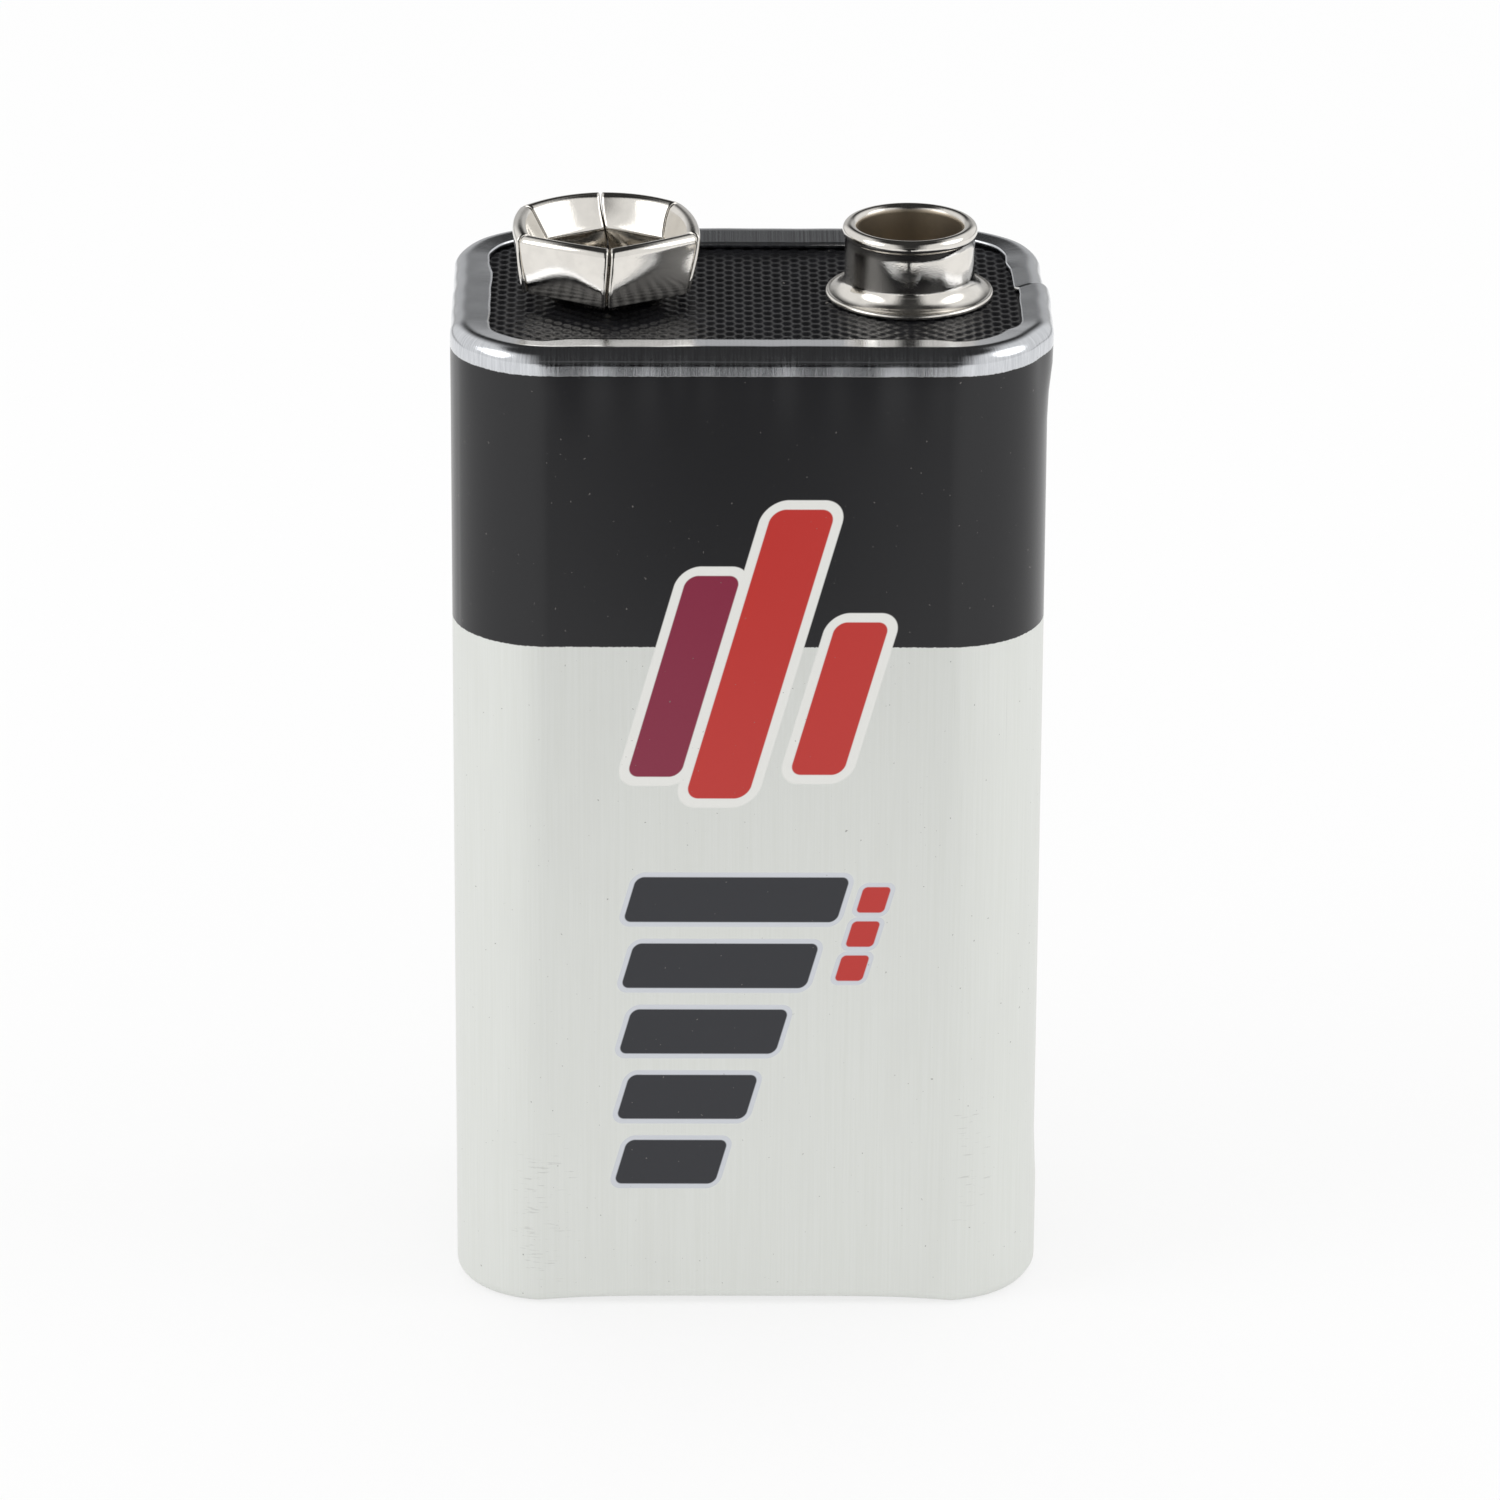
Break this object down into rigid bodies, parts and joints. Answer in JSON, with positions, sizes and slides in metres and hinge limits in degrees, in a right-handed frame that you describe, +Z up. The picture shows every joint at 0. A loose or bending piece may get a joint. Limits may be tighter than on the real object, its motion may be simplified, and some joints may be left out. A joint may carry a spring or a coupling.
{
  "type": "nine volt battery",
  "caption": "Nine volt snap-terminal battery: a crimped printed steel jacket round a stack of cylindrical cells, with a drawn stud and a petalled snap socket on a textured top board.",
  "frame": {"origin": "below the middle of the overall outline, on the surface that the battery stands on; the lapped seam swells the rim on the positive side, so the case's own middle lies 0.16 mm to the negative side", "axes": "+Z up towards the terminals, +X from the negative terminal to the positive one, -Y out of the front face"},
  "size_m": [0.0256, 0.0168, 0.0472],
  "materials": {
    "jacket_print": "satin",
    "board_black": "finely textured",
    "plate_black": "satin",
    "sleeve_film": "satin",
    "card_grey": "matte",
    "nickel_stud": "bright",
    "nickel_socket": "bright",
    "rivet_steel": "satin",
    "strip_nickel": "satin",
    "cell_can": "satin"
  },
  "bodies": {
    "root": {"jacket": "jacket_print", "terminal_board": "board_black", "bottom_plate": "plate_black", "insulating_sleeve": "sleeve_film", "top_card": "card_grey", "bottom_card": "card_grey", "positive_stud": "nickel_stud", "negative_socket": "nickel_socket", "positive_rivet": "rivet_steel", "negative_rivet": "rivet_steel", "positive_lead": "strip_nickel", "negative_lead": "strip_nickel", "cell_1": "cell_can", "cell_2": "cell_can", "cell_3": "cell_can", "cell_4": "cell_can", "cell_5": "cell_can", "cell_6": "cell_can", "lower_strap_1": "strip_nickel", "lower_strap_2": "strip_nickel", "lower_strap_3": "strip_nickel", "upper_strap_1": "strip_nickel", "upper_strap_2": "strip_nickel"}
  },
  "joints": []
}
